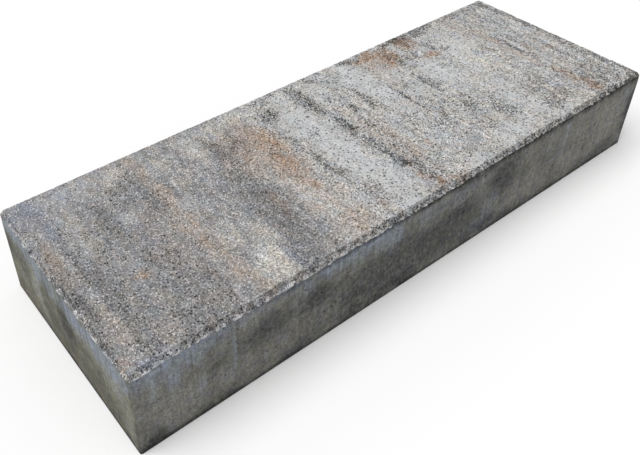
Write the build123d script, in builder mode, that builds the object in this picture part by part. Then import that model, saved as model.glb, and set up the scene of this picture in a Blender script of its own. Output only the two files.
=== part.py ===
"""Concrete block step for a garden stair, pressed in one piece.

The block is one solid bar of concrete. It lies on its flat underside, and its
tread is the upper face. A small bevel runs round the tread and meets in a
mitre at each corner, so that the edge doesn't chip underfoot. The four upright
corners have the small radius of the mould they were pressed in. The edges of
the underside are left sharp by the pallet that the block was pressed on.

Frame: the origin is the centre of the underside. X runs along the length of
the step, Y from its front face to its back face, and Z is up.
"""

from build123d import *

import os

# Driving dimensions, in millimetres
length = 1000.0  # across the stair, from end to end
depth = 350.0  # from the front face to the back face
height = 150.0  # the rise of one step
bevel_run = 5.0  # how far the bevel reaches in over the tread
bevel_drop = 5.0  # how far the bevel reaches down the sides
corner_radius = 3.0  # upright corners of the mould


# The block: a bar with its tread bevelled, and its upright corners rounded
with BuildPart() as block_step:
    with BuildSketch(Plane.XY):
        Rectangle(length, depth)
    extrude(amount=height)

    tread = block_step.faces().sort_by(Axis.Z)[-1]
    chamfer(tread.edges(), bevel_run, bevel_drop, reference=tread)

    upright_edges = block_step.edges().filter_by(Axis.Z)
    fillet(upright_edges, corner_radius)

block_step.part.label = "block_step"
os.makedirs("parts", exist_ok=True)
export_step(block_step.part, "parts/block_step.step")
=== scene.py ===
import math

import bpy
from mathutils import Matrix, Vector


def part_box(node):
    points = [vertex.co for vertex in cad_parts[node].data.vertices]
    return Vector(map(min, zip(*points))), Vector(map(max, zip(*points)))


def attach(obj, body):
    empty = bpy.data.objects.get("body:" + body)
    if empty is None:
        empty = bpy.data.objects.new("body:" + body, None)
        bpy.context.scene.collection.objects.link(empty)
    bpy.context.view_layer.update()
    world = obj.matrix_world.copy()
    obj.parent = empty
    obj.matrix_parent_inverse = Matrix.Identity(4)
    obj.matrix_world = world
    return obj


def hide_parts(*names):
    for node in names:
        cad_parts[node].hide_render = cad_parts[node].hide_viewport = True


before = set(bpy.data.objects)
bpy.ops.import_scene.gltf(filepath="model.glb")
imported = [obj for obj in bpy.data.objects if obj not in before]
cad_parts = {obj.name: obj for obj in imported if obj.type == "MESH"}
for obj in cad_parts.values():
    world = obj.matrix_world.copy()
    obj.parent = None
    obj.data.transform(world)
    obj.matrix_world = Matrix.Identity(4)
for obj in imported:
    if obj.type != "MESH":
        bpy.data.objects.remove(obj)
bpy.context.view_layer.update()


# Camera
# It stands where the photographer stood, above the near left corner of the step. The
# photograph is a crop from one side of a larger picture, so the lens is shifted.
picture_width_px = 640
picture_height_px = 455
focal_length_px = 785.1
lens_axis_px = (254.5, 147.8)
sensor_width_mm = 36.0
camera_place = (-0.6983, -0.6827, 0.8676)
camera_turn_degrees = (52.44, 0.94, -37.41)

lens = bpy.data.cameras.new("camera")
lens.sensor_width = sensor_width_mm
lens.lens = sensor_width_mm * focal_length_px / picture_width_px
lens.shift_x = (picture_width_px / 2 - lens_axis_px[0]) / picture_width_px
lens.shift_y = (lens_axis_px[1] - picture_height_px / 2) / picture_width_px
camera = bpy.data.objects.new("camera", lens)
bpy.context.scene.collection.objects.link(camera)
camera.location = camera_place
camera.rotation_euler = [math.radians(angle) for angle in camera_turn_degrees]
bpy.context.scene.camera = camera


# Block step
# One bar of concrete, pressed and shaken in a steel mould and pushed out of it whole. Batches
# in several pigments lie across it in bands. The tread and its bevel are blasted until the
# grit shows, and the sides keep the smooth skin and the drag marks of the mould.
block_low, block_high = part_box("block_step")
block_length = block_high.x - block_low.x
block_depth = block_high.y - block_low.y
bevel_width = 0.005
corner_radius = 0.003
tread_cell = 0.0025
bevel_rows = 4
side_row_drops = (0.0008, 0.0020, 0.0040, 0.0066, 0.0095, 0.0130)
side_row_height = 0.0055
underside_arris = 0.0006
rounding = 0.0001
smooth_below_degrees = 50


def add_node(tree, kind, **settings):
    """Adds a node to a material or to a tree that works on the mesh, with its settings."""
    node = tree.nodes.new(kind)
    for name, value in settings.items():
        setattr(node, name, value)
    return node


def plug(tree, value, socket):
    """Links an output into a socket, or sets the socket where the value is a plain one."""
    if isinstance(value, bpy.types.NodeSocket):
        tree.links.new(value, socket)
    else:
        socket.default_value = value


def maths(tree, operation, *values):
    """One sum on one, two or three values."""
    node = add_node(tree, "ShaderNodeMath", operation=operation)
    for value, socket in zip(values, node.inputs):
        plug(tree, value, socket)
    return node.outputs[0]


def vectors(tree, operation, *values):
    """One sum on one or two positions or directions."""
    node = add_node(tree, "ShaderNodeVectorMath", operation=operation)
    for value, socket in zip(values, node.inputs):
        plug(tree, value, socket)
    return node.outputs["Value" if operation == "LENGTH" else "Vector"]


def rise(tree, value, start, end, low=0.0, high=1.0):
    """Climbs smoothly from low to high while the value goes from start to end."""
    node = add_node(tree, "ShaderNodeMapRange", interpolation_type="SMOOTHSTEP")
    plug(tree, value, node.inputs["Value"])
    node.inputs["From Min"].default_value = start
    node.inputs["From Max"].default_value = end
    node.inputs["To Min"].default_value = low
    node.inputs["To Max"].default_value = high
    return node.outputs["Result"]


def stretched(tree, position, sizes):
    """Divides a position by the sizes of a pattern along X, Y and Z."""
    return vectors(tree, "MULTIPLY", position, [1 / size for size in sizes])


def clouds(tree, position, sizes, detail=2.0, roughness=0.5):
    """Soft cloudy noise with blotches of the given sizes, in metres."""
    node = add_node(tree, "ShaderNodeTexNoise")
    plug(tree, stretched(tree, position, sizes), node.inputs["Vector"])
    node.inputs["Scale"].default_value = 1.0
    node.inputs["Detail"].default_value = detail
    node.inputs["Roughness"].default_value = roughness
    return node


def grains(tree, position, size):
    """Grains of one size, each with a colour of its own: three random shares from 0 to 1."""
    node = add_node(tree, "ShaderNodeTexVoronoi", feature="F1")
    plug(tree, stretched(tree, position, (size, size, size)), node.inputs["Vector"])
    node.inputs["Scale"].default_value = 1.0
    shares = add_node(tree, "ShaderNodeSeparateXYZ")
    tree.links.new(node.outputs["Color"], shares.inputs["Vector"])
    return node.outputs["Distance"], shares.outputs


def paint(red, green, blue):
    """A colour as a screen shows it, from 0 to 255, turned into the light it reflects."""
    linear = []
    for share in (red / 255, green / 255, blue / 255):
        linear.append(share / 12.92 if share <= 0.04045 else ((share + 0.055) / 1.055) ** 2.4)
    return (*linear, 1.0)


def blend(tree, share, under, over, kind="MIX"):
    """Lays one colour over another by a share."""
    node = add_node(tree, "ShaderNodeMix", data_type="RGBA", blend_type=kind)
    plug(tree, share, node.inputs["Factor"])
    plug(tree, under, node.inputs["A"])
    plug(tree, over, node.inputs["B"])
    return node.outputs["Result"]


def shaded(tree, colour, factor):
    """Darkens, brightens or tints a colour by a factor or by another colour."""
    return blend(tree, 1.0, colour, factor, "MULTIPLY")


def between(tree, share, low, high):
    """The value that lies between two others by a share."""
    node = add_node(tree, "ShaderNodeMix", data_type="FLOAT")
    plug(tree, share, node.inputs["Factor"])
    plug(tree, low, node.inputs["A"])
    plug(tree, high, node.inputs["B"])
    return node.outputs["Result"]


def ovals(tree, flat_position, patches):
    """The strongest of some soft ovals, each given as x, y, half length, half depth, strength.

    An oval is full inside its core and fades to nothing past its half sizes.
    """
    core = 0.35
    fade = 1.35
    strongest = 0.0
    for x, y, half_length, half_depth, strength in patches:
        from_middle = vectors(tree, "SUBTRACT", flat_position, (x, y, 0.0))
        from_middle = stretched(tree, from_middle, (half_length, half_depth, 1.0))
        distance = vectors(tree, "LENGTH", from_middle)
        here = rise(tree, distance, fade, core, 0.0, strength)
        strongest = maths(tree, "MAXIMUM", here, strongest)
    return strongest


# The bar's mesh: the tread is a fine grid, its rim is drawn out and down over the bevel and
# then down the sides, and the underside is closed by one flat face.
bpy.ops.object.select_all(action="DESELECT")
tread_length = block_length - 2 * bevel_width
tread_depth = block_depth - 2 * bevel_width
bpy.ops.mesh.primitive_grid_add(
    x_subdivisions=round(tread_length / tread_cell),
    y_subdivisions=round(tread_depth / tread_cell),
    size=1.0,
    location=(0, 0, block_high.z),
)
block = bpy.context.object
block.name = "pressed_block"
block.scale = (tread_length, tread_depth, 1.0)
bpy.ops.object.transform_apply(location=True, rotation=True, scale=True)

rings = []
for row in range(1, bevel_rows + 1):
    share = row / bevel_rows
    rings.append((bevel_width * (1 - share), block_high.z - bevel_width * share))
skirt_top = block_high.z - bevel_width
for drop in side_row_drops:
    rings.append((0.0, skirt_top - drop))
plain_top = skirt_top - side_row_drops[-1]
side_rows = round((plain_top - underside_arris) / side_row_height)
for row in range(1, side_rows + 1):
    rings.append((0.0, plain_top - (plain_top - underside_arris) * row / side_rows))
rings.append((underside_arris, 0.0))

bpy.ops.object.mode_set(mode="EDIT")
bpy.ops.mesh.select_mode(type="EDGE")
bpy.ops.mesh.select_all(action="DESELECT")
bpy.ops.mesh.select_non_manifold(extend=False)
last_inset = bevel_width
last_height = block_high.z
for inset, height in rings:
    bpy.ops.mesh.extrude_region_move(
        TRANSFORM_OT_translate={"value": (0, 0, height - last_height)}
    )
    grow_x = (block_length - 2 * inset) / (block_length - 2 * last_inset)
    grow_y = (block_depth - 2 * inset) / (block_depth - 2 * last_inset)
    bpy.ops.transform.resize(value=(grow_x, grow_y, 1.0), center_override=(0, 0, height))
    last_inset = inset
    last_height = height
bpy.ops.mesh.edge_face_add()
bpy.ops.mesh.select_all(action="SELECT")
bpy.ops.mesh.normals_make_consistent(inside=False)
bpy.ops.mesh.select_mode(type="VERT")
bpy.ops.mesh.select_all(action="DESELECT")
bpy.ops.object.mode_set(mode="OBJECT")

# Below the foot of the bevel the upright corners are drawn in to the middle of the mould's
# radius
foot = block_high.z - bevel_width
draw_in = corner_radius * (1 - math.sqrt(0.5))
for vertex in block.data.vertices:
    at_end = abs(vertex.co.x) > block_high.x - underside_arris - rounding
    at_side = abs(vertex.co.y) > block_high.y - underside_arris - rounding
    vertex.select = at_end and at_side and vertex.co.z < foot + rounding
bpy.ops.object.mode_set(mode="EDIT")
bpy.ops.transform.resize(
    value=(1 - draw_in / block_high.x, 1 - draw_in / block_high.y, 1.0), center_override=(0, 0, 0)
)
bpy.ops.object.mode_set(mode="OBJECT")


# The tread and the bevel are of the blasted material, and the rest is of the pressed one
block.data.materials.append(bpy.data.materials.new("blasted_concrete"))
block.data.materials.append(bpy.data.materials.new("pressed_concrete"))
for face in block.data.polygons:
    face.material_index = 0 if face.center.z > foot + rounding else 1


# The pigments: batches of coloured mix that were poured side by side across the mould. Each
# is a list of soft ovals on the tread, as x, y, half length, half depth and strength.
charcoal_patches = [
    (-0.488, -0.050, 0.013, 0.045, 0.70),
    (-0.487, -0.010, 0.010, 0.120, 0.36),
    (-0.455, 0.050, 0.018, 0.036, 0.30),
    (-0.455, -0.086, 0.015, 0.028, 0.58),
    (-0.455, -0.135, 0.020, 0.050, 0.42),
    (-0.427, -0.065, 0.020, 0.120, 0.30),
    (-0.392, -0.150, 0.040, 0.034, 0.35),
    (-0.338, -0.128, 0.016, 0.060, 0.48),
    (-0.156, 0.086, 0.018, 0.034, 0.46),
    (0.022, -0.112, 0.014, 0.016, 0.45),
    (0.204, 0.130, 0.018, 0.016, 0.25),
    (0.490, -0.040, 0.013, 0.200, 0.48),
    (0.436, -0.1735, 0.060, 0.006, 0.80),
    (0.130, -0.040, 0.050, 0.050, 0.13),
    (0.350, -0.105, 0.060, 0.055, 0.15),
    (-0.040, 0.036, 0.010, 0.014, 0.26),
    (-0.066, -0.056, 0.010, 0.012, 0.28),
    (-0.499, 0.000, 0.005, 0.014, 1.00),
    (-0.499, -0.080, 0.006, 0.090, 0.55),
    (-0.499, 0.080, 0.005, 0.050, 0.32),
    (-0.497, -0.135, 0.007, 0.026, 0.45),
    (0.420, 0.008, 0.012, 0.014, 0.25),
    (-0.452, -0.041, 0.016, 0.130, 0.40),
    (-0.394, 0.066, 0.020, 0.050, 0.50),
    (-0.372, -0.060, 0.030, 0.090, 0.33),
    (-0.339, 0.101, 0.040, 0.035, 0.38),
    (-0.319, 0.056, 0.014, 0.050, 0.35),
    (-0.242, 0.104, 0.010, 0.010, 0.40),
    (-0.200, -0.050, 0.025, 0.130, 0.48),
    (-0.224, -0.145, 0.026, 0.040, 0.45),
    (-0.183, 0.084, 0.018, 0.044, 0.56),
    (-0.071, 0.125, 0.020, 0.022, 0.60),
    (-0.088, 0.030, 0.006, 0.040, 0.22),
    (-0.081, -0.021, 0.008, 0.030, 0.45),
    (-0.076, -0.057, 0.012, 0.010, 0.60),
    (-0.078, -0.122, 0.010, 0.035, 0.28),
    (0.001, 0.120, 0.011, 0.048, 0.66),
    (0.009, 0.022, 0.009, 0.050, 0.60),
    (0.012, 0.006, 0.009, 0.011, 0.90),
    (0.011, -0.052, 0.009, 0.036, 0.50),
    (0.012, -0.100, 0.011, 0.012, 0.80),
    (0.022, -0.138, 0.009, 0.034, 0.50),
    (0.048, 0.051, 0.008, 0.012, 0.55),
    (0.038, 0.094, 0.007, 0.016, 0.30),
    (0.081, 0.056, 0.008, 0.040, 0.50),
    (0.040, 0.156, 0.014, 0.012, 0.30),
    (0.137, 0.030, 0.003, 0.050, 0.70),
    (0.199, 0.033, 0.008, 0.040, 0.44),
    (0.208, 0.108, 0.010, 0.014, 0.60),
    (0.284, 0.114, 0.009, 0.012, 0.70),
    (0.300, 0.096, 0.010, 0.012, 0.45),
    (0.234, 0.106, 0.012, 0.016, 0.38),
    (0.206, -0.056, 0.020, 0.022, 0.42),
    (0.239, -0.091, 0.016, 0.040, 0.35),
    (0.255, 0.047, 0.010, 0.012, 0.35),
    (0.328, -0.135, 0.034, 0.018, 0.40),
    (0.399, 0.017, 0.004, 0.060, 0.65),
    (0.444, 0.106, 0.040, 0.040, 0.15),
    (0.255, 0.145, 0.016, 0.020, 0.30),
    (0.407, -0.150, 0.008, 0.026, 0.30),
    (0.430, -0.125, 0.040, 0.040, 0.38),
    (0.449, -0.003, 0.008, 0.090, 0.25),
    (0.036, -0.060, 0.012, 0.045, 0.26),
    (0.180, -0.110, 0.012, 0.020, 0.28),
    (0.140, 0.163, 0.030, 0.011, 0.50),
    (0.250, 0.158, 0.034, 0.014, 0.68),
    (0.481, 0.156, 0.015, 0.015, 0.78),
    (0.330, 0.162, 0.022, 0.011, 0.55),
    (0.425, 0.162, 0.060, 0.011, 0.42),
    (-0.050, 0.162, 0.030, 0.012, 0.42),
    (0.363, 0.034, 0.009, 0.022, 0.36),
    (0.420, 0.036, 0.011, 0.022, 0.36),
    (0.181, -0.026, 0.011, 0.016, 0.28),
    (0.036, 0.004, 0.012, 0.018, 0.30),
    (0.484, -0.130, 0.012, 0.030, 0.36),
    (0.003, -0.026, 0.008, 0.012, 0.34),
    (0.388, -0.056, 0.010, 0.014, 0.30),
    (0.245, -0.118, 0.014, 0.012, 0.24),
    (0.329, -0.146, 0.014, 0.012, 0.26),
    (0.212, 0.160, 0.014, 0.009, 0.40),
    (0.299, 0.157, 0.017, 0.013, 0.60),
    (-0.066, -0.116, 0.013, 0.018, 0.42),
    (-0.280, -0.113, 0.014, 0.014, 0.24),
    (-0.125, 0.036, 0.013, 0.014, 0.22),
    (-0.304, -0.056, 0.013, 0.018, 0.24),
]
slate_patches = [
    (-0.470, 0.135, 0.032, 0.034, 0.70),
    (-0.462, 0.091, 0.018, 0.040, 0.55),
    (-0.427, 0.153, 0.060, 0.024, 0.45),
    (-0.364, 0.047, 0.022, 0.050, 0.25),
    (-0.231, 0.056, 0.012, 0.090, 0.35),
    (-0.234, -0.140, 0.012, 0.040, 0.50),
    (-0.457, -0.172, 0.026, 0.010, 1.00),
    (0.011, -0.120, 0.018, 0.060, 0.35),
    (0.339, 0.029, 0.012, 0.016, 0.40),
    (0.374, 0.135, 0.018, 0.026, 0.20),
]
lime_patches = [
    (0.034, 0.112, 0.018, 0.034, 0.62),
    (0.170, 0.085, 0.022, 0.030, 0.40),
    (0.178, 0.018, 0.014, 0.034, 0.35),
    (0.300, -0.050, 0.020, 0.022, 0.60),
    (-0.065, 0.050, 0.014, 0.040, 0.62),
    (0.452, 0.090, 0.020, 0.050, 0.35),
    (0.330, 0.120, 0.026, 0.014, 0.40),
    (-0.038, 0.007, 0.034, 0.260, 0.80),
    (-0.030, -0.112, 0.028, 0.070, 0.74),
    (-0.028, 0.135, 0.014, 0.040, 0.80),
    (0.116, 0.088, 0.028, 0.074, 0.98),
    (0.112, 0.000, 0.024, 0.070, 0.50),
    (0.239, 0.043, 0.026, 0.044, 1.05),
    (0.243, 0.002, 0.022, 0.026, 0.70),
    (0.318, 0.086, 0.044, 0.060, 0.48),
    (0.293, 0.007, 0.030, 0.020, 0.35),
    (0.203, -0.150, 0.055, 0.018, 0.90),
    (0.098, -0.156, 0.024, 0.016, 0.75),
    (0.313, -0.164, 0.050, 0.010, 0.50),
    (0.374, -0.112, 0.008, 0.046, 0.75),
    (0.379, -0.063, 0.010, 0.012, 0.85),
    (0.280, -0.108, 0.024, 0.066, 0.72),
    (0.459, 0.135, 0.018, 0.014, 0.45),
    (-0.366, 0.051, 0.016, 0.014, 0.45),
    (-0.420, 0.145, 0.050, 0.022, 0.25),
    (-0.286, 0.027, 0.016, 0.018, 0.40),
    (0.076, -0.085, 0.020, 0.020, 0.36),
    (0.092, 0.104, 0.018, 0.026, 1.15),
    (0.212, -0.122, 0.014, 0.012, 0.25),
    (0.000, -0.130, 0.010, 0.034, 0.45),
    (0.116, 0.126, 0.024, 0.020, 1.45),
    (0.270, 0.098, 0.008, 0.010, 0.25),
    (-0.446, -0.1735, 0.024, 0.006, 0.55),
    (-0.130, -0.1735, 0.034, 0.006, 0.65),
    (-0.205, -0.1735, 0.020, 0.006, 0.40),
]
cream_patches = [
    (-0.215, 0.118, 0.016, 0.050, 0.55),
    (-0.245, -0.110, 0.016, 0.070, 0.45),
    (-0.160, 0.152, 0.050, 0.014, 0.50),
    (-0.342, 0.138, 0.022, 0.024, 0.62),
    (-0.390, 0.157, 0.026, 0.013, 0.50),
    (-0.220, 0.152, 0.022, 0.014, 0.52),
    (-0.176, 0.128, 0.018, 0.018, 0.38),
    (-0.095, -0.022, 0.010, 0.028, 0.60),
    (-0.093, -0.150, 0.014, 0.020, 0.50),
    (-0.273, 0.126, 0.014, 0.018, 0.32),
    (-0.365, 0.096, 0.018, 0.018, 0.28),
    (-0.246, 0.088, 0.012, 0.020, 0.40),
    (-0.262, -0.134, 0.027, 0.036, 0.80),
    (-0.280, -0.060, 0.018, 0.035, 0.42),
    (-0.139, -0.081, 0.022, 0.060, 0.62),
    (-0.106, -0.110, 0.024, 0.060, 0.40),
    (-0.111, 0.145, 0.060, 0.016, 0.55),
    (-0.219, 0.125, 0.014, 0.034, 0.60),
    (-0.437, 0.056, 0.018, 0.070, 0.25),
    (0.323, 0.051, 0.050, 0.080, 0.65),
    (0.283, 0.007, 0.040, 0.030, 0.50),
    (-0.132, -0.038, 0.024, 0.034, 0.62),
    (-0.275, 0.067, 0.012, 0.016, 0.44),
    (-0.136, -0.152, 0.030, 0.018, 0.60),
]
rust_patches = [
    (-0.156, 0.076, 0.022, 0.036, 0.38),
    (-0.127, -0.028, 0.014, 0.018, 0.50),
    (-0.119, 0.071, 0.024, 0.058, 0.50),
    (-0.124, 0.010, 0.018, 0.044, 0.62),
    (-0.124, -0.051, 0.010, 0.016, 0.60),
    (-0.405, -0.053, 0.010, 0.013, 0.90),
    (-0.188, -0.056, 0.010, 0.030, 0.45),
    (0.180, 0.154, 0.046, 0.015, 0.85),
    (0.204, 0.128, 0.022, 0.022, 1.00),
    (0.183, 0.104, 0.012, 0.010, 0.60),
    (0.257, 0.143, 0.018, 0.026, 0.90),
    (0.266, 0.092, 0.020, 0.011, 0.85),
    (0.400, -0.079, 0.009, 0.018, 0.80),
    (0.405, -0.145, 0.012, 0.030, 0.85),
    (0.396, -0.112, 0.010, 0.026, 0.70),
    (0.446, -0.023, 0.014, 0.008, 0.45),
    (0.071, -0.081, 0.007, 0.005, 0.80),
    (0.034, -0.168, 0.030, 0.010, 0.70),
    (-0.050, 0.125, 0.007, 0.030, 0.45),
    (-0.076, -0.150, 0.010, 0.012, 0.35),
    (-0.492, -0.168, 0.007, 0.006, 0.50),
    (-0.349, -0.041, 0.030, 0.110, 0.14),
    (0.013, -0.145, 0.010, 0.020, 0.50),
    (0.017, -0.110, 0.008, 0.012, 0.50),
    (-0.126, 0.096, 0.014, 0.018, 0.34),
    (0.211, 0.157, 0.017, 0.012, 0.95),
]
tan_patches = [
    (-0.307, 0.007, 0.012, 0.180, 0.75),
    (-0.315, -0.013, 0.014, 0.050, 0.50),
    (-0.296, -0.140, 0.010, 0.040, 0.60),
    (-0.484, 0.032, 0.012, 0.060, 0.55),
    (-0.478, -0.100, 0.012, 0.060, 0.40),
    (-0.430, -0.150, 0.016, 0.022, 0.40),
    (-0.171, 0.066, 0.030, 0.060, 0.70),
    (-0.126, 0.037, 0.034, 0.090, 0.70),
    (-0.131, -0.150, 0.036, 0.034, 0.70),
    (-0.126, -0.061, 0.024, 0.060, 0.45),
    (0.389, 0.037, 0.012, 0.120, 0.50),
    (0.368, 0.116, 0.012, 0.050, 0.45),
    (0.178, 0.130, 0.050, 0.034, 0.50),
    (0.333, -0.130, 0.012, 0.018, 0.40),
    (0.035, -0.061, 0.024, 0.110, 0.45),
    (0.078, -0.160, 0.030, 0.010, 0.30),
    (-0.156, -0.086, 0.014, 0.026, 0.50),
    (-0.100, -0.056, 0.014, 0.020, 0.50),
    (-0.066, -0.116, 0.010, 0.020, 0.36),
    (0.421, 0.004, 0.010, 0.014, 0.45),
]


# Stains on the skin: damp patches, the film that lime leaves, and pale dry patches. The dark
# patches along the foot and just under the foot of the bevel are painted shade, not damp. They
# are given as distance along the side, height, half length, half height and strength, first for
# the two long sides and then for the two ends.
damp_and_shade_on_sides = [
    (-0.035, 0.055, 0.205, 0.052, 0.64),
    (-0.302, 0.086, 0.048, 0.027, 0.62),
    (-0.218, 0.088, 0.044, 0.030, 0.74),
    (-0.385, 0.075, 0.018, 0.014, 0.42),
    (-0.253, 0.072, 0.008, 0.008, 0.75),
    (-0.155, 0.044, 0.036, 0.024, 0.74),
    (-0.062, 0.016, 0.040, 0.013, 0.86),
    (-0.105, 0.014, 0.040, 0.012, 0.78),
    (0.055, 0.080, 0.054, 0.022, 0.78),
    (0.128, 0.018, 0.024, 0.016, 1.00),
    (0.096, 0.022, 0.050, 0.018, 0.78),
    (0.152, 0.098, 0.040, 0.044, 0.78),
    (0.095, 0.133, 0.060, 0.009, 0.66),
    (-0.262, 0.137, 0.040, 0.008, 0.50),
    (-0.100, 0.135, 0.050, 0.008, 0.40),
    (0.245, 0.135, 0.030, 0.008, 0.36),
    (-0.215, 0.113, 0.060, 0.010, 0.34),
    (0.262, 0.082, 0.046, 0.020, 0.30),
    (0.195, 0.007, 0.055, 0.018, 0.64),
    (0.430, 0.010, 0.080, 0.022, 0.58),
    (0.300, 0.003, 0.080, 0.012, 0.50),
    (-0.400, 0.003, 0.080, 0.010, 0.50),
    (-0.258, 0.012, 0.046, 0.015, 0.58),
    (-0.160, 0.014, 0.030, 0.014, 0.72),
    (-0.485, 0.004, 0.036, 0.020, 0.90),
    (0.493, 0.078, 0.012, 0.070, 0.88),
    (0.478, 0.050, 0.014, 0.030, 0.34),
    (0.036, 0.114, 0.048, 0.012, 0.40),
    (-0.238, 0.070, 0.018, 0.014, 0.72),
    (-0.162, 0.074, 0.018, 0.014, 0.70),
    (0.205, 0.078, 0.024, 0.016, 0.30),
]
film_on_sides = [
    (-0.430, 0.152, 0.105, 0.040, 0.86),
    (-0.290, 0.152, 0.100, 0.032, 0.42),
    (-0.140, 0.152, 0.090, 0.036, 0.84),
    (-0.150, 0.128, 0.070, 0.020, 0.48),
    (-0.090, 0.117, 0.034, 0.028, 0.62),
    (-0.240, 0.124, 0.022, 0.020, 0.30),
    (-0.187, 0.135, 0.028, 0.016, 0.90),
    (-0.118, 0.130, 0.012, 0.018, 0.80),
    (-0.471, 0.115, 0.008, 0.030, 0.45),
    (-0.441, 0.112, 0.012, 0.036, 0.55),
    (-0.411, 0.120, 0.012, 0.026, 0.70),
    (-0.360, 0.090, 0.006, 0.050, 0.45),
    (-0.408, 0.060, 0.008, 0.030, 0.30),
    (-0.005, 0.122, 0.050, 0.018, 0.26),
    (0.070, 0.114, 0.050, 0.018, 0.16),
    (0.130, 0.058, 0.020, 0.018, 0.20),
    (0.110, 0.026, 0.040, 0.014, 0.16),
    (0.303, 0.100, 0.006, 0.045, 0.30),
    (0.477, 0.124, 0.012, 0.016, 0.30),
]
pale_on_sides = [
    (-0.440, 0.050, 0.050, 0.030, 0.35),
    (-0.435, 0.105, 0.040, 0.022, 0.30),
    (0.230, 0.050, 0.050, 0.024, 0.22),
    (0.300, 0.106, 0.050, 0.026, 0.26),
    (0.200, 0.118, 0.040, 0.018, 0.20),
    (0.425, 0.088, 0.036, 0.042, 0.56),
    (0.340, 0.055, 0.040, 0.024, 0.20),
    (-0.345, 0.055, 0.044, 0.018, 0.30),
    (0.440, 0.044, 0.030, 0.020, 0.24),
]
damp_and_shade_on_ends = [
    (-0.008, 0.080, 0.026, 0.046, 0.95),
    (0.020, 0.055, 0.050, 0.040, 0.34),
    (0.165, 0.100, 0.016, 0.034, 0.62),
    (0.128, 0.098, 0.024, 0.024, 0.34),
    (0.036, 0.110, 0.010, 0.008, 0.55),
    (-0.095, 0.062, 0.016, 0.022, 0.42),
    (-0.118, 0.030, 0.024, 0.022, 0.42),
    (-0.040, 0.075, 0.020, 0.020, 0.22),
    (0.078, 0.006, 0.044, 0.014, 0.85),
    (0.000, 0.004, 0.200, 0.011, 0.55),
    (-0.172, 0.010, 0.010, 0.012, 0.70),
    (-0.172, 0.118, 0.006, 0.024, 0.45),
]
film_on_ends = [
    (-0.115, 0.122, 0.066, 0.028, 0.90),
    (-0.040, 0.122, 0.050, 0.026, 0.82),
    (0.030, 0.116, 0.026, 0.018, 0.58),
    (0.100, 0.152, 0.110, 0.038, 0.90),
    (0.067, 0.118, 0.020, 0.024, 0.85),
    (0.100, 0.140, 0.050, 0.016, 0.85),
    (0.019, 0.127, 0.020, 0.014, 0.50),
    (-0.030, 0.120, 0.024, 0.018, 0.95),
    (-0.125, 0.122, 0.036, 0.020, 1.00),
]
pale_on_ends = [
    (0.078, 0.074, 0.020, 0.046, 0.96),
    (-0.128, 0.094, 0.036, 0.026, 0.90),
    (-0.060, 0.104, 0.040, 0.018, 0.40),
    (-0.160, 0.048, 0.016, 0.050, 0.52),
]

# The edges of the patches are pulled about, far and softly at first and then finely. Each
# pull has the size of its waves, and its reach on the tread and on the sides.
wander_size = (0.045, 0.10, 0.045)
wander_on_tread = (0.026, 0.060, 0.0)
wander_on_sides = (0.04, 0.04, 0.04)
fray_size = (0.010, 0.014, 0.010)
fray_on_tread = (0.015, 0.030, 0.0)
fray_on_sides = (0.016, 0.016, 0.03)

pour = bpy.data.node_groups.new("poured_pigments", "GeometryNodeTree")
pour.interface.new_socket("Geometry", in_out="INPUT", socket_type="NodeSocketGeometry")
pour.interface.new_socket("Geometry", in_out="OUTPUT", socket_type="NodeSocketGeometry")
position = add_node(pour, "GeometryNodeInputPosition").outputs["Position"]
spot = add_node(pour, "ShaderNodeSeparateXYZ")
pour.links.new(position, spot.inputs["Vector"])

middle = (0.5, 0.5, 0.5)
wander = clouds(pour, position, wander_size, detail=3.0).outputs["Color"]
wander = vectors(pour, "SUBTRACT", wander, middle)
fray = clouds(pour, position, fray_size, detail=2.0).outputs["Color"]
fray = vectors(pour, "SUBTRACT", fray, middle)
pulled = vectors(pour, "ADD", position, vectors(pour, "MULTIPLY", wander, wander_on_tread))
pulled = vectors(pour, "ADD", pulled, vectors(pour, "MULTIPLY", fray, fray_on_tread))
on_tread = vectors(pour, "MULTIPLY", pulled, (1.0, 1.0, 0.0))

# On the sides a position becomes distance along the side, as seen from outside, and height
pulled = vectors(pour, "ADD", position, vectors(pour, "MULTIPLY", wander, wander_on_sides))
pulled = vectors(pour, "ADD", pulled, vectors(pour, "MULTIPLY", fray, fray_on_sides))
pulled_apart = add_node(pour, "ShaderNodeSeparateXYZ")
pour.links.new(pulled, pulled_apart.inputs["Vector"])
on_side = add_node(pour, "ShaderNodeCombineXYZ")
on_end = add_node(pour, "ShaderNodeCombineXYZ")
for flat, along, across in ((on_side, "X", "Y"), (on_end, "Y", "X")):
    facing = maths(pour, "SIGN", spot.outputs[across])
    facing = maths(pour, "MULTIPLY", facing, -1.0)
    plug(pour, maths(pour, "MULTIPLY", pulled_apart.outputs[along], facing), flat.inputs["X"])
    pour.links.new(pulled_apart.outputs["Z"], flat.inputs["Y"])

corner_blend = 0.0005
in_from_end = maths(pour, "SUBTRACT", block_high.x, maths(pour, "ABSOLUTE", spot.outputs["X"]))
in_from_side = maths(pour, "SUBTRACT", block_high.y, maths(pour, "ABSOLUTE", spot.outputs["Y"]))
is_end = maths(pour, "SUBTRACT", in_from_side, in_from_end)
is_end = rise(pour, is_end, -corner_blend, corner_blend)

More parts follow.
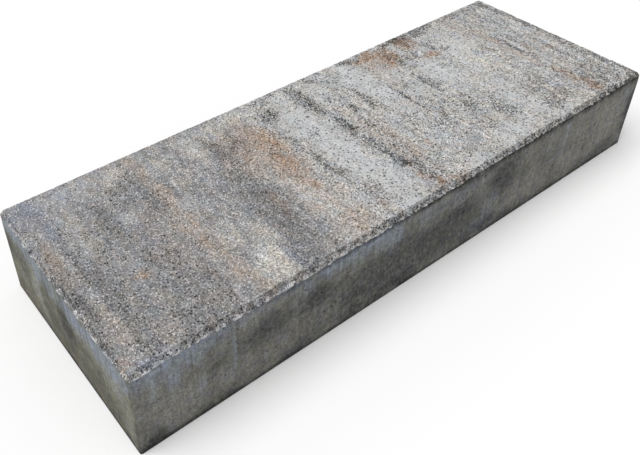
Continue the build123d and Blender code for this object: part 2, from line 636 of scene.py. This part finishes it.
broken = clouds(pour, position, (0.010, 0.035, 0.010), detail=4.0, roughness=0.65).outputs["Fac"]
broken = rise(pour, broken, 0.30, 0.65, 0.45, 1.35)
batches = {
    "pale_batches": (cream_patches, tan_patches, lime_patches),
    "dark_batches": (slate_patches, rust_patches, charcoal_patches),
}
masks = {}
for name, three_lists in batches.items():
    masks[name] = []
    for patches in three_lists:
        cover = ovals(pour, on_tread, patches)
        masks[name].append(maths(pour, "MULTIPLY", cover, broken))
masks["skin_stains_and_shade"] = []
for side_patches, end_patches in (
    (damp_and_shade_on_sides, damp_and_shade_on_ends),
    (film_on_sides, film_on_ends),
    (pale_on_sides, pale_on_ends),
):
    cover = between(
        pour,
        is_end,
        ovals(pour, on_side.outputs["Vector"], side_patches),
        ovals(pour, on_end.outputs["Vector"], end_patches),
    )
    masks["skin_stains_and_shade"].append(cover)

# The rim of the tread, and the burr at the foot of the bevel, which is thinner to the right
rim_start = 0.0062
rim_full = 0.0025
burr_half_height = 0.0011
burr_piece = (0.008, 0.008, 0.5)
rim = rise(pour, maths(pour, "MINIMUM", in_from_end, in_from_side), rim_start, rim_full)
burr_break = clouds(pour, position, burr_piece, detail=4.0, roughness=0.7).outputs["Fac"]
fading = rise(pour, spot.outputs["X"], -0.1, 0.3, 0.0, 0.15)
burr_break = maths(pour, "SUBTRACT", burr_break, fading)
from_foot = maths(pour, "ABSOLUTE", maths(pour, "SUBTRACT", spot.outputs["Z"], foot))
burr = rise(pour, from_foot, burr_half_height, 0.0)
burr = maths(pour, "MULTIPLY", burr, rise(pour, burr_break, 0.48, 0.58))

# The gap under the burr: a groove in the relief, darkened with painted shadow, and close below
# the foot blacker painted shadow in broken pieces. It is faint at the left corner and full from
# the middle to the right.
gap_lowest = foot - 0.015
gap_full = foot - 0.004
gap_waver = 0.006
crisp_shadow_lowest = foot - 0.0072
crisp_shadow_full = foot - 0.003
gap_piece = (0.013, 0.013, 0.5)
gap_break = clouds(pour, position, gap_piece, detail=5.0, roughness=0.75).outputs["Fac"]
gap_groove_and_shadow = maths(pour, "ADD", spot.outputs["Z"], rise(pour, gap_break, 0.30, 0.70, -gap_waver, gap_waver))
gap_groove_and_shadow = maths(pour, "MULTIPLY", rise(pour, gap_groove_and_shadow, gap_lowest, gap_full), 0.60)
crisp_shadow = rise(pour, spot.outputs["Z"], crisp_shadow_lowest, crisp_shadow_full)
crisp_shadow = maths(pour, "MULTIPLY", rise(pour, gap_break, 0.44, 0.54), crisp_shadow)
gap_groove_and_shadow = maths(pour, "MAXIMUM", gap_groove_and_shadow, maths(pour, "MULTIPLY", crisp_shadow, 0.90))
gap_groove_and_shadow = maths(pour, "MULTIPLY", gap_groove_and_shadow, rise(pour, spot.outputs["X"], -0.45, -0.02, 0.08, 1.0))
masks["rim_masks"] = [rim, burr, gap_groove_and_shadow]

poured = add_node(pour, "NodeGroupInput").outputs["Geometry"]
for name, three_masks in masks.items():
    bundle = add_node(pour, "ShaderNodeCombineXYZ")
    for mask, socket in zip(three_masks, bundle.inputs):
        plug(pour, mask, socket)
    stored = add_node(pour, "GeometryNodeStoreNamedAttribute", data_type="FLOAT_VECTOR")
    stored.inputs["Name"].default_value = name
    pour.links.new(poured, stored.inputs["Geometry"])
    pour.links.new(bundle.outputs["Vector"], stored.inputs["Value"])
    poured = stored.outputs["Geometry"]
pour.links.new(poured, add_node(pour, "NodeGroupOutput").inputs["Geometry"])
block.modifiers.new("pour", "NODES").node_group = pour
bpy.ops.object.modifier_apply(modifier="pour")


# The relief: the whole bar is a little uneven, the blasted rim and tread are pitted, and the
# press leaves a broken burr along the foot of the bevel with a groove under it.
swell_size = (0.03, 0.03, 0.03)
swell_height = 0.0009
grit_size = (0.006, 0.006, 0.006)
grit_height = 0.0012
pit_spacing = 0.008
pit_depth = 0.0012
burr_stand = 0.0016
groove_depth = 0.0013
bed_fade = 0.008

relief = bpy.data.node_groups.new("cast_relief", "GeometryNodeTree")
relief.interface.new_socket("Geometry", in_out="INPUT", socket_type="NodeSocketGeometry")
relief.interface.new_socket("Geometry", in_out="OUTPUT", socket_type="NodeSocketGeometry")
group_in = add_node(relief, "NodeGroupInput")
group_out = add_node(relief, "NodeGroupOutput")
place = add_node(relief, "GeometryNodeInputPosition").outputs["Position"]
outward = add_node(relief, "GeometryNodeInputNormal").outputs["Normal"]
spot = add_node(relief, "ShaderNodeSeparateXYZ")
relief.links.new(place, spot.inputs["Vector"])
rim_masks = add_node(relief, "GeometryNodeInputNamedAttribute", data_type="FLOAT_VECTOR")
rim_masks.inputs["Name"].default_value = "rim_masks"
rims = add_node(relief, "ShaderNodeSeparateXYZ")
relief.links.new(rim_masks.outputs["Attribute"], rims.inputs["Vector"])

blasted = rise(relief, spot.outputs["Z"], foot, foot + 0.0008)
off_bed = rise(relief, spot.outputs["Z"], 0.0, bed_fade)
swell = clouds(relief, place, swell_size, detail=3.0).outputs["Fac"]
swell = maths(relief, "SUBTRACT", swell, 0.6)
grit = clouds(relief, place, grit_size, detail=2.0, roughness=0.6).outputs["Fac"]
grit = maths(relief, "SUBTRACT", grit, 0.62)
pit_distance, pit_shares = grains(relief, place, pit_spacing)
pit_here = maths(relief, "MULTIPLY", rims.outputs["X"], 0.35)
pit_here = rise(relief, maths(relief, "ADD", pit_shares["X"], pit_here), 0.75, 0.9)
pit = maths(relief, "MULTIPLY", rise(relief, pit_distance, 0.45, 0.10), pit_here)
rough = maths(relief, "MULTIPLY", grit, grit_height)
rough = maths(relief, "ADD", rough, maths(relief, "MULTIPLY", pit, -pit_depth))
rough = maths(relief, "MULTIPLY", rough, blasted)
gentle = maths(relief, "MULTIPLY", maths(relief, "MULTIPLY", swell, swell_height), off_bed)
lift = maths(relief, "ADD", rough, gentle)
lift = maths(relief, "ADD", lift, maths(relief, "MULTIPLY", rims.outputs["Y"], burr_stand))
lift = maths(relief, "ADD", lift, maths(relief, "MULTIPLY", rims.outputs["Z"], -groove_depth))

# The foot of the bevel sags and wavers, most of all left of the middle: the sag deepens from
# the left end on, and goes away again toward the right end
sag_reach = 0.021
sag_waver = 0.0034
sag_at_left = 0.0018
sag_deepest = 0.0054
sag_given_back = 0.0062
waver_size = (0.014, 0.014, 0.5)
down_bevel = maths(relief, "SUBTRACT", block_high.z, spot.outputs["Z"])
down_bevel = maths(relief, "MINIMUM", maths(relief, "DIVIDE", down_bevel, bevel_width), 1.0)
near_foot = rise(relief, spot.outputs["Z"], foot - sag_reach, foot)
near_foot = maths(relief, "MULTIPLY", down_bevel, near_foot)
waver = clouds(relief, place, waver_size, detail=4.0, roughness=0.75).outputs["Fac"]
sag = rise(relief, waver, 0.30, 0.70, -sag_waver, 0.0)
sag_along = rise(relief, spot.outputs["X"], -0.48, -0.22, -sag_at_left, -sag_deepest)
sag = maths(relief, "ADD", sag, sag_along)
sag_along = rise(relief, spot.outputs["X"], -0.20, 0.75, 0.0, sag_given_back)
sag = maths(relief, "ADD", sag, sag_along)
sag = maths(relief, "MULTIPLY", maths(relief, "MINIMUM", sag, 0.0), near_foot)

scaled = add_node(relief, "ShaderNodeVectorMath", operation="SCALE")
relief.links.new(outward, scaled.inputs["Vector"])
relief.links.new(lift, scaled.inputs["Scale"])
drop = add_node(relief, "ShaderNodeCombineXYZ")
relief.links.new(sag, drop.inputs["Z"])
moved = add_node(relief, "GeometryNodeSetPosition")
relief.links.new(group_in.outputs["Geometry"], moved.inputs["Geometry"])
shift = vectors(relief, "ADD", scaled.outputs["Vector"], drop.outputs["Vector"])
relief.links.new(shift, moved.inputs["Offset"])
relief.links.new(moved.outputs["Geometry"], group_out.inputs["Geometry"])

relief_step = block.modifiers.new("relief", "NODES")
relief_step.node_group = relief
bpy.ops.object.modifier_apply(modifier="relief")
bpy.ops.object.shade_smooth_by_angle(angle=math.radians(smooth_below_degrees))


# The blasted concrete of the tread and the bevel: pigments in bands, laid in the order that
# they were poured, with grit of quartz, basalt and brown stone showing through.
dusk_grey = paint(145, 144, 144)
ash_grey = paint(177, 176, 174)
charcoal = paint(92, 92, 94)
slate_blue = paint(130, 134, 146)
lime_white = paint(202, 204, 206)
cream = paint(198, 195, 190)
rust = paint(158, 132, 112)
tan = paint(168, 155, 144)
quartz = paint(236, 234, 230)
basalt = paint(42, 42, 44)
brown_stone = paint(142, 120, 106)
burr_white = paint(205, 206, 208)
cooler = (0.945, 0.995, 1.065, 1.0)
warmer = (1.05, 1.0, 0.94, 1.0)
more_violet = (1.01, 0.988, 1.012, 1.0)
greener = (0.99, 1.012, 0.988, 1.0)
grain_size = 0.0016
stone_size = 0.0031
sand_size = (0.0009, 0.0009, 0.0009)
grain_height = 0.0006
blasted_roughness = 0.88
concrete_shine = 0.35

blasted_mix = block.data.materials["blasted_concrete"]
blasted_mix.use_nodes = True
tree = blasted_mix.node_tree
surface = tree.nodes["Principled BSDF"]
position = add_node(tree, "ShaderNodeTexCoord").outputs["Object"]

grain_distance, grain_shares = grains(tree, position, grain_size)
stone_distance, stone_shares = grains(tree, position, stone_size)

# The mix is darker on the left, and its edge with the paler mix wavers
along = add_node(tree, "ShaderNodeSeparateXYZ")
tree.links.new(position, along.inputs["Vector"])
waver = clouds(tree, position, (0.03, 0.06, 0.03), detail=3.0).outputs["Fac"]
waver = maths(tree, "ADD", along.outputs["X"], maths(tree, "MULTIPLY", waver, 0.06))
colour = blend(tree, rise(tree, waver, -0.17, 0.0), dusk_grey, ash_grey)

streaks = clouds(tree, position, (0.010, 0.090, 0.05), detail=4.0, roughness=0.6).outputs["Fac"]
mottle = clouds(tree, position, (0.010, 0.022, 0.012), detail=5.0, roughness=0.7).outputs["Fac"]
patchy = maths(tree, "MULTIPLY_ADD", streaks, 0.4, maths(tree, "MULTIPLY", mottle, 0.6))
colour = shaded(tree, colour, rise(tree, patchy, 0.35, 0.65, 0.74, 1.26))

covers = {}
for name in ("pale_batches", "dark_batches", "rim_masks"):
    stored = add_node(tree, "ShaderNodeAttribute", attribute_name=name)
    apart = add_node(tree, "ShaderNodeSeparateXYZ")
    tree.links.new(stored.outputs["Vector"], apart.inputs["Vector"])
    covers[name] = apart.outputs

# Grains lean to the bright side, and they differ less on the left
rightward = rise(tree, waver, -0.17, -0.04)
spread = rise(tree, waver, -0.42, -0.16, 0.74, 1.05)
bright_grain = maths(tree, "MULTIPLY", grain_shares["X"], grain_shares["X"])
shade = maths(tree, "MULTIPLY_ADD", maths(tree, "SUBTRACT", bright_grain, 0.33), spread, 1.0)
sand = clouds(tree, position, sand_size, detail=2.0, roughness=0.7).outputs["Fac"]
shade = maths(tree, "MULTIPLY", shade, rise(tree, sand, 0.25, 0.75, 0.55, 1.45))

# Every pigment keeps to its ovals, and its stones take more or less of it
pigments = [
    (cream, covers["pale_batches"]["X"], "Y"),
    (tan, covers["pale_batches"]["Y"], "Z"),
    (slate_blue, covers["dark_batches"]["X"], "X"),
    (rust, covers["dark_batches"]["Y"], "Z"),
]
for pigment, cover, share in pigments:
    scatter = rise(tree, stone_shares[share], 0.1, 0.9, 0.75, 1.25)
    cover = maths(tree, "MULTIPLY", cover, scatter)
    colour = blend(tree, maths(tree, "MINIMUM", cover, 1.0), colour, pigment)

# Tints that drift from cool to warm and from violet to green
warmth = clouds(tree, position, (0.014, 0.026, 0.014), detail=3.0, roughness=0.55).outputs["Color"]
drift = add_node(tree, "ShaderNodeSeparateXYZ")
tree.links.new(warmth, drift.inputs["Vector"])
tint = blend(tree, rise(tree, drift.outputs["X"], 0.3, 0.7), cooler, warmer)
colour = shaded(tree, colour, tint)
tint = blend(tree, rise(tree, drift.outputs["Y"], 0.3, 0.7), more_violet, greener)
colour = shaded(tree, colour, tint)

# The grain of the blasted face: every grain has its own tone. Lime bloom lies over it and
# fills it, and then come pale quartz, brown stone and, where charcoal was poured and along
# the rim, dark basalt and small holes that grains have come out of. The holes dip in the
# bump, and their dark colour is painted shade.
colour = shaded(tree, colour, shade)
bloom = maths(tree, "MULTIPLY", covers["pale_batches"]["Z"], rise(tree, sand, 0.3, 0.7, 0.44, 1.02))
colour = blend(tree, maths(tree, "MINIMUM", bloom, 1.0), colour, lime_white)
bare = rise(tree, covers["pale_batches"]["Z"], 0.2, 0.8, 1.0, 0.70)
glint = maths(tree, "SUBTRACT", grain_shares["Y"], maths(tree, "MULTIPLY", rightward, 0.02))
glint = maths(tree, "MULTIPLY", rise(tree, glint, 0.895, 0.935), bare)
glint = maths(tree, "MULTIPLY", glint, rise(tree, sand, 0.38, 0.60, 0.40, 1.0))
colour = blend(tree, maths(tree, "MULTIPLY", glint, 0.90), colour, quartz)
brown_here = maths(tree, "MULTIPLY", rise(tree, stone_shares["Y"], 0.955, 0.97), 0.35)
colour = blend(tree, brown_here, colour, brown_stone)

dark_share = maths(tree, "MULTIPLY", covers["dark_batches"]["Z"], between(tree, rightward, 0.36, 0.80))
rim_share = maths(tree, "MULTIPLY", covers["rim_masks"]["X"], between(tree, rightward, 0.10, 0.22))
dark_share = maths(tree, "ADD", dark_share, rim_share)
dark_share = maths(tree, "ADD", dark_share, rise(tree, mottle, 0.55, 0.35, 0.0, 0.05))
basalt_here = rise(tree, maths(tree, "ADD", grain_shares["Z"], dark_share), 0.95, 0.97)
colour = blend(tree, maths(tree, "MULTIPLY", basalt_here, 0.86), colour, basalt)
smooth_charcoal = between(tree, rightward, 0.62, 0.16)
smooth_charcoal = maths(tree, "MULTIPLY", covers["dark_batches"]["Z"], smooth_charcoal)
colour = blend(tree, smooth_charcoal, colour, charcoal)
hole = maths(tree, "ADD", stone_shares["X"], maths(tree, "MULTIPLY", dark_share, 0.6))
hole = rise(tree, maths(tree, "ADD", hole, between(tree, rightward, -0.055, 0.05)), 0.935, 0.955)
hole = maths(tree, "MULTIPLY", hole, rise(tree, stone_distance, 0.56, 0.28))
colour = shaded(tree, colour, rise(tree, hole, 0.0, 1.0, 1.0, 0.14))

# The rim is blotchier than the rest, and on the left it is painted lighter: painted light against
# the shade of its steep bevel. The burr at its foot is pale
rim_blotches_and_painted_light = rise(tree, mottle, 0.36, 0.64, 0.60, 1.42)
rim_blotches_and_painted_light = maths(tree, "MULTIPLY", rim_blotches_and_painted_light, between(tree, rightward, 1.16, 0.95))
rim_blotches_and_painted_light = between(tree, covers["rim_masks"]["X"], 1.0, rim_blotches_and_painted_light)
colour = shaded(tree, colour, rim_blotches_and_painted_light)
colour = blend(tree, maths(tree, "MULTIPLY", covers["rim_masks"]["Y"], 0.8), colour, burr_white)
tree.links.new(colour, surface.inputs["Base Color"])

# The grains stand out as small domes, and the holes go down between them
domes = rise(tree, grain_distance, 0.65, 0.0)
domes = maths(tree, "MULTIPLY", domes, rise(tree, grain_shares["Z"], 0.0, 1.0, 0.3, 1.0))
bumps = maths(tree, "MULTIPLY_ADD", domes, 0.6, maths(tree, "MULTIPLY", sand, 0.35))
bumps = maths(tree, "MULTIPLY", bumps, bare)
bumps = maths(tree, "SUBTRACT", bumps, maths(tree, "MULTIPLY", hole, 1.3))
bump = add_node(tree, "ShaderNodeBump")
bump.inputs["Distance"].default_value = grain_height
tree.links.new(bumps, bump.inputs["Height"])
tree.links.new(bump.outputs["Normal"], surface.inputs["Normal"])
surface.inputs["Roughness"].default_value = blasted_roughness
surface.inputs["Specular IOR Level"].default_value = concrete_shine


# The pressed concrete of the sides: a smooth grey skin of cement with a bluish film at the
# top, drag marks from the mould, cloudy damp patches and pinholes, with painted shade on the
# ends, along the foot and in the gap under the burr.
# The olive and brown colours are the ends' copies of the skin, painted darker and more olive as painted
# shade and a painted tint of light
skin_grey = paint(147, 146, 141)
olive_skin_painted_shade = paint(120, 120, 108)
brown_skin_painted_shade = paint(113, 110, 97)
damp_and_shade_grey = paint(56, 58, 61)
damp_and_shade_on_olive = paint(58, 57, 52)
film_blue = paint(174, 183, 197)
film_on_olive = paint(157, 165, 176)
pale_skin = paint(173, 172, 166)
pale_on_olive = paint(158, 158, 149)
shade_and_blot_dark = paint(28, 28, 28)
more_olive = (1.025, 1.03, 0.93, 1.0)
bluer = (0.98, 0.975, 1.065, 1.0)
end_starts = 0.0025
end_full = 0.0010
drag_size = (0.006, 0.006, 0.150)
cloud_size = (0.040, 0.040, 0.026)
curd_size = (0.006, 0.006, 0.008)
skin_sand_size = (0.0013, 0.0013, 0.0013)
pinhole_spacing = 0.0065
blot_spacing = 0.017
skin_height = 0.0004
pressed_roughness = 0.78
hole_shine = 0.02

pressed_mix = block.data.materials["pressed_concrete"]
pressed_mix.use_nodes = True
tree = pressed_mix.node_tree
surface = tree.nodes["Principled BSDF"]
position = add_node(tree, "ShaderNodeTexCoord").outputs["Object"]
heights = add_node(tree, "ShaderNodeSeparateXYZ")
tree.links.new(position, heights.inputs["Vector"])
stains_and_shade = add_node(tree, "ShaderNodeSeparateXYZ")
stored = add_node(tree, "ShaderNodeAttribute", attribute_name="skin_stains_and_shade")
tree.links.new(stored.outputs["Vector"], stains_and_shade.inputs["Vector"])
rims = add_node(tree, "ShaderNodeSeparateXYZ")
stored = add_node(tree, "ShaderNodeAttribute", attribute_name="rim_masks")
tree.links.new(stored.outputs["Vector"], rims.inputs["Vector"])

drag = clouds(tree, position, drag_size, detail=5.0, roughness=0.65).outputs["Fac"]
cloud = clouds(tree, position, cloud_size, detail=5.0, roughness=0.6).outputs["Fac"]
curds = clouds(tree, position, curd_size, detail=4.0, roughness=0.7).outputs["Fac"]

# The ends are painted darker and more olive than the long sides, which is painted shade and a
# painted tint of light on the same skin, and they are brown toward their foot
from_middle = maths(tree, "ABSOLUTE", heights.outputs["X"])
on_end = rise(tree, from_middle, block_high.x - end_starts, block_high.x - end_full)
end_skin_painted_shade = blend(tree, rise(tree, heights.outputs["Z"], 0.070, 0.020), olive_skin_painted_shade, brown_skin_painted_shade)
colour = blend(tree, on_end, skin_grey, end_skin_painted_shade)
cloudy = rise(tree, cloud, 0.30, 0.70, -1.0, 1.0)
cloudy = maths(tree, "MULTIPLY_ADD", cloudy, between(tree, on_end, 0.19, 0.34), 1.0)
colour = shaded(tree, colour, cloudy)
colour = blend(tree, stains_and_shade.outputs["Z"], colour, blend(tree, on_end, pale_skin, pale_on_olive))
# Damp patches darken the skin, and along the foot and under the bevel's foot they are painted shade
damp_and_shade = maths(tree, "MULTIPLY", stains_and_shade.outputs["X"], rise(tree, curds, 0.3, 0.7, 1.25, 0.75))
damp_and_shade_paint = blend(tree, on_end, damp_and_shade_grey, damp_and_shade_on_olive)
colour = blend(tree, maths(tree, "MINIMUM", damp_and_shade, 1.0), colour, damp_and_shade_paint)
film = maths(tree, "MULTIPLY", stains_and_shade.outputs["Y"], rise(tree, drag, 0.3, 0.65, 0.65, 1.4))
film_paint = blend(tree, on_end, film_blue, film_on_olive)
colour = blend(tree, maths(tree, "MINIMUM", film, 1.0), colour, film_paint)
colour = shaded(tree, colour, rise(tree, drag, 0.30, 0.70, 0.86, 1.14))
colour = shaded(tree, colour, rise(tree, curds, 0.30, 0.70, 0.74, 1.26))

# Tints that shift from olive to blue, and sand in the skin
tint = clouds(tree, position, (0.016, 0.016, 0.022), detail=4.0, roughness=0.65).outputs["Fac"]
tint = blend(tree, rise(tree, tint, 0.34, 0.66), more_olive, bluer)
colour = shaded(tree, colour, tint)
sand = clouds(tree, position, skin_sand_size, detail=3.0, roughness=0.7).outputs["Fac"]
colour = shaded(tree, colour, rise(tree, sand, 0.25, 0.75, 0.50, 1.38))

# Pinholes, fewer at the left end, soft dark blots, painted shade along the lower edge and painted
# shadow in the gap under the burr are all dark, and shine less than the skin. The pinholes also
# dip in the bump, and their dark colour is painted shade
pin_distance, pin_shares = grains(tree, position, pinhole_spacing)
pinhole = rise(tree, pin_distance, 0.27, 0.12)
pinhole = maths(tree, "MULTIPLY", rise(tree, pin_shares["X"], 0.66, 0.80), pinhole)
pin_strength = rise(tree, heights.outputs["X"], -0.46, -0.26, 0.60, 1.0)
pinhole = maths(tree, "MULTIPLY", pinhole, pin_strength)
blot_distance, blot_shares = grains(tree, position, blot_spacing)
blot = rise(tree, blot_distance, 0.30, 0.08)
blot = maths(tree, "MULTIPLY", rise(tree, blot_shares["X"], 0.70, 1.0), blot)
foot_shade = maths(tree, "ADD", heights.outputs["Z"], rise(tree, cloud, 0.3, 0.7, 0.0, 0.004))
foot_shade = rise(tree, foot_shade, 0.013, 0.002, 0.0, 0.67)
painted_shade_and_blots = maths(tree, "MAXIMUM", foot_shade, rims.outputs["Z"])
painted_shade_and_blots = maths(tree, "MAXIMUM", painted_shade_and_blots, maths(tree, "MULTIPLY", pinhole, 0.90))
painted_shade_and_blots = maths(tree, "MAXIMUM", painted_shade_and_blots, maths(tree, "MULTIPLY", blot, 0.46))
colour = blend(tree, painted_shade_and_blots, colour, shade_and_blot_dark)
shine = rise(tree, painted_shade_and_blots, 0.0, 1.0, concrete_shine, hole_shine)
tree.links.new(shine, surface.inputs["Specular IOR Level"])
tree.links.new(colour, surface.inputs["Base Color"])

bump = add_node(tree, "ShaderNodeBump")
bump.inputs["Distance"].default_value = skin_height
heave = maths(tree, "ADD", drag, maths(tree, "MULTIPLY", sand, 0.6))
heave = maths(tree, "SUBTRACT", maths(tree, "ADD", heave, curds), maths(tree, "MULTIPLY", pinhole, 1.5))
tree.links.new(heave, bump.inputs["Height"])
tree.links.new(bump.outputs["Normal"], surface.inputs["Normal"])
surface.inputs["Roughness"].default_value = pressed_roughness

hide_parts("block_step")
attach(block, "root")


# Floor
# A plain pale studio floor, white to the camera with the block's soft shadow on it, and
# duller to other rays, so that it throws little light back up.
floor_half = 30.0
floor_drop = 0.0004
floor_seen = 0.98
floor_thrown = 0.30
bpy.ops.object.select_all(action="DESELECT")
bpy.ops.mesh.primitive_plane_add(size=2 * floor_half, location=(0, 0, -floor_drop))
floor = bpy.context.object
floor.name = "floor"
floor_paint = bpy.data.materials.new("floor_paint")
floor_paint.use_nodes = True
tree = floor_paint.node_tree
surface = tree.nodes["Principled BSDF"]
rays = add_node(tree, "ShaderNodeLightPath")
seen = maths(tree, "MAXIMUM", rays.outputs["Is Camera Ray"], rays.outputs["Is Glossy Ray"])
seen = maths(tree, "MAXIMUM", seen, rays.outputs["Is Transmission Ray"])
shade = blend(tree, seen, (floor_thrown,) * 3 + (1.0,), (floor_seen,) * 3 + (1.0,))
tree.links.new(shade, surface.inputs["Base Color"])
surface.inputs["Roughness"].default_value = 1.0
surface.inputs["Specular IOR Level"].default_value = 0.0
floor.data.materials.append(floor_paint)


# Lights
# Soft light from a wide panel up on the left and behind, and a pale room all round.
panel_from = (-0.40, 0.03, 0.90)
panel_strength = 2.15
panel_width_degrees = 50
room_strength = 0.42
panel = bpy.data.lights.new("panel", "SUN")
panel.energy = panel_strength
panel.angle = math.radians(panel_width_degrees)
panel_lamp = bpy.data.objects.new("panel", panel)
bpy.context.scene.collection.objects.link(panel_lamp)
panel_lamp.rotation_euler = (
    0.0,
    math.atan2(math.hypot(panel_from[0], panel_from[1]), panel_from[2]),
    math.atan2(panel_from[1], panel_from[0]),
)

room = bpy.data.worlds.new("room")
bpy.context.scene.world = room
room.use_nodes = True
tree = room.node_tree
background = tree.nodes["Background"]
rays = add_node(tree, "ShaderNodeLightPath")
seen = maths(tree, "MAXIMUM", rays.outputs["Is Camera Ray"], rays.outputs["Is Glossy Ray"])
seen = maths(tree, "MAXIMUM", seen, rays.outputs["Is Transmission Ray"])
tree.links.new(between(tree, seen, room_strength, 1.0), background.inputs["Strength"])
background.inputs["Color"].default_value = (1.0, 1.0, 1.0, 1.0)

bpy.context.scene.view_settings.view_transform = "Standard"
